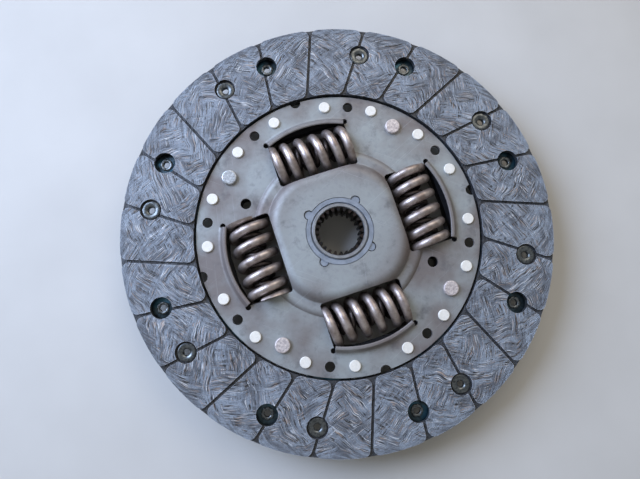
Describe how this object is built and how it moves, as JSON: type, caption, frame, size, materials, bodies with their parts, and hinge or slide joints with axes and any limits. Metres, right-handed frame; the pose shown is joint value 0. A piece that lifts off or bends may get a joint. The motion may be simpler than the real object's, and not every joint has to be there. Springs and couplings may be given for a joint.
{
  "type": "clutch disc",
  "caption": "Flat round clutch disc with grooved friction rings on a wavy steel cushion and a splined hub that twists against coil springs inside a pressed, window-cut damper.",
  "frame": {"origin": "on the hub's axis, at the middle of the cushion sheet between the two friction rings", "axes": "+Z along the hub's axis, out of the side with the raised platform; +X, +Y, -X and -Y through the middles of the spring windows"},
  "size_m": [0.24, 0.24, 0.0263],
  "materials": {
    "friction_composite": "moulded fibre composite, ground flat",
    "cushion_steel": "thin blued spring steel",
    "plate_steel": "pressed and phosphated, satin",
    "hub_steel": "forged, turned and broached",
    "spring_steel": "oil-tempered wire, dark bronze sheen",
    "rivet_steel": "zinc plated, satin",
    "tube_rivet_steel": "plated, dull",
    "bush_plastic": "moulded, filled nylon",
    "friction_ring_composite": "moulded friction ring"
  },
  "bodies": {
    "disc": {"front_facing": "friction_composite", "rear_facing": "friction_composite", "front_facing_rivets": "tube_rivet_steel", "rear_facing_rivets": "tube_rivet_steel", "cushion_segment_1": "cushion_steel", "cushion_segment_2": "cushion_steel", "cushion_segment_3": "cushion_steel", "cushion_segment_4": "cushion_steel", "cushion_segment_5": "cushion_steel", "cushion_segment_6": "cushion_steel", "cushion_segment_7": "cushion_steel", "cushion_segment_8": "cushion_steel", "cover_plate": "plate_steel", "rear_plate": "plate_steel", "stop_pin_1": "rivet_steel", "stop_pin_2": "rivet_steel", "stop_pin_3": "rivet_steel", "stop_pin_4": "rivet_steel", "segment_rivets": "rivet_steel", "front_bush": "bush_plastic", "rear_bush": "bush_plastic", "friction_ring": "friction_ring_composite", "thrust_washer": "cushion_steel", "disc_spring": "cushion_steel"},
    "hub": {"hub": "hub_steel"},
    "springs": {"outer_spring_1": "spring_steel", "outer_spring_2": "spring_steel", "outer_spring_3": "spring_steel", "outer_spring_4": "spring_steel", "inner_spring_1": "spring_steel", "inner_spring_2": "spring_steel", "inner_spring_3": "spring_steel", "inner_spring_4": "spring_steel"}
  },
  "joints": [
    {"name": "hub_twist", "type": "hinge", "parent": "disc", "child": "hub", "pos_m": [0, 0, 0], "axis": [0, 0, 1], "range_deg": [-8.5, 8.5], "stiffness_Nm_per_rad": 2000},
    {"name": "spring_shift", "type": "hinge", "parent": "disc", "child": "springs", "pos_m": [0, 0, 0], "axis": [0, 0, 1], "range_deg": [-4.25, 4.25], "deforming": ["outer_spring_1", "outer_spring_2", "outer_spring_3", "outer_spring_4", "inner_spring_1", "inner_spring_2", "inner_spring_3", "inner_spring_4"]}
  ],
  "couplings": [
    {"joint": "spring_shift", "follows": "hub_twist", "ratio": 0.5}
  ]
}
